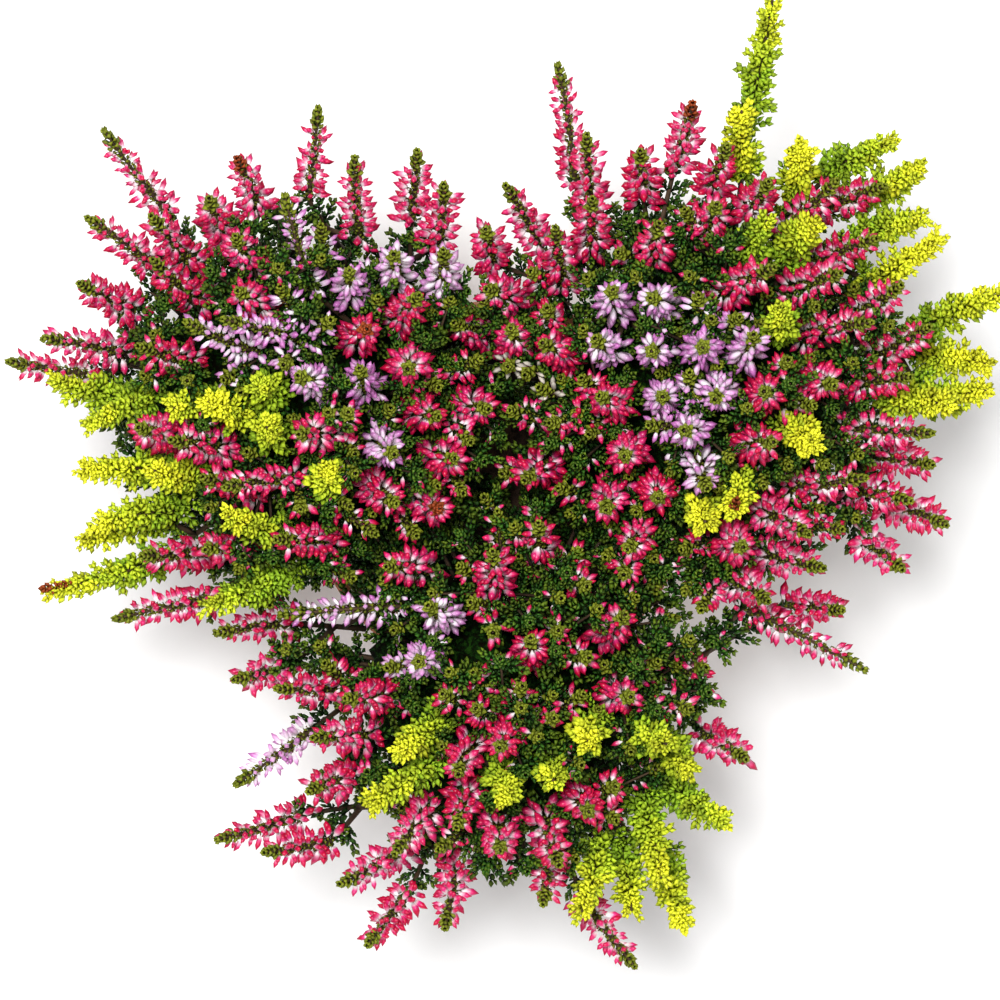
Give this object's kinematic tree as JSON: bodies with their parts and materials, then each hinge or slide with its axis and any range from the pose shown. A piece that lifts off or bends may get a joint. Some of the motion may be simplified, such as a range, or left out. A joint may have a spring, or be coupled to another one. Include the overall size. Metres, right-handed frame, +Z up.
{
  "type": "potted heather",
  "caption": "Heather bushes in bud, with pink, lilac and golden sprays spreading from a round clay pot.",
  "frame": {"origin": "the middle of the pot's base, on the surface that it stands on", "axes": "+Z up along the pot's axis; -Y towards the front bush, the lower edge of the picture; +X to the right"},
  "size_m": [0.3016, 0.2911, 0.2671],
  "materials": {
    "clay": "matte",
    "soil": "matte",
    "green": "matte",
    "pink": "satin",
    "lilac": "satin",
    "golden": "satin"
  },
  "bodies": {
    "root": {"bush_front": "green", "bush_left": "green", "bush_right": "green", "golden_front_01": "golden", "golden_front_02": "golden", "golden_front_03": "golden", "golden_front_04": "golden", "golden_left_01": "golden", "golden_left_02": "golden", "golden_left_03": "golden", "golden_left_04": "golden", "golden_left_05": "golden", "golden_right_01": "golden", "golden_right_02": "golden", "golden_right_03": "golden", "golden_right_04": "golden", "golden_right_05": "golden", "golden_right_06": "golden", "lilac_front_01": "lilac", "lilac_front_02": "lilac", "lilac_left_01": "lilac", "lilac_left_02": "lilac", "lilac_left_03": "lilac", "lilac_left_04": "lilac", "lilac_right_01": "lilac", "lilac_right_02": "lilac", "lilac_right_03": "lilac", "pink_front_01": "pink", "pink_front_02": "pink", "pink_front_03": "pink", "pink_front_04": "pink", "pink_front_05": "pink", "pink_front_06": "pink", "pink_front_07": "pink", "pink_front_08": "pink", "pink_left_01": "pink", "pink_left_02": "pink", "pink_left_03": "pink", "pink_left_04": "pink", "pink_left_05": "pink", "pink_left_06": "pink", "pink_left_07": "pink", "pink_left_08": "pink", "pink_left_09": "pink", "pink_left_10": "pink", "pink_right_01": "pink", "pink_right_02": "pink", "pink_right_03": "pink", "pink_right_04": "pink", "pink_right_05": "pink", "pink_right_06": "pink", "pink_right_07": "pink", "pink_right_08": "pink", "pink_right_09": "pink", "pink_right_10": "pink", "pink_right_11": "pink", "pink_right_12": "pink", "pot": "clay", "soil": "soil"}
  },
  "joints": []
}
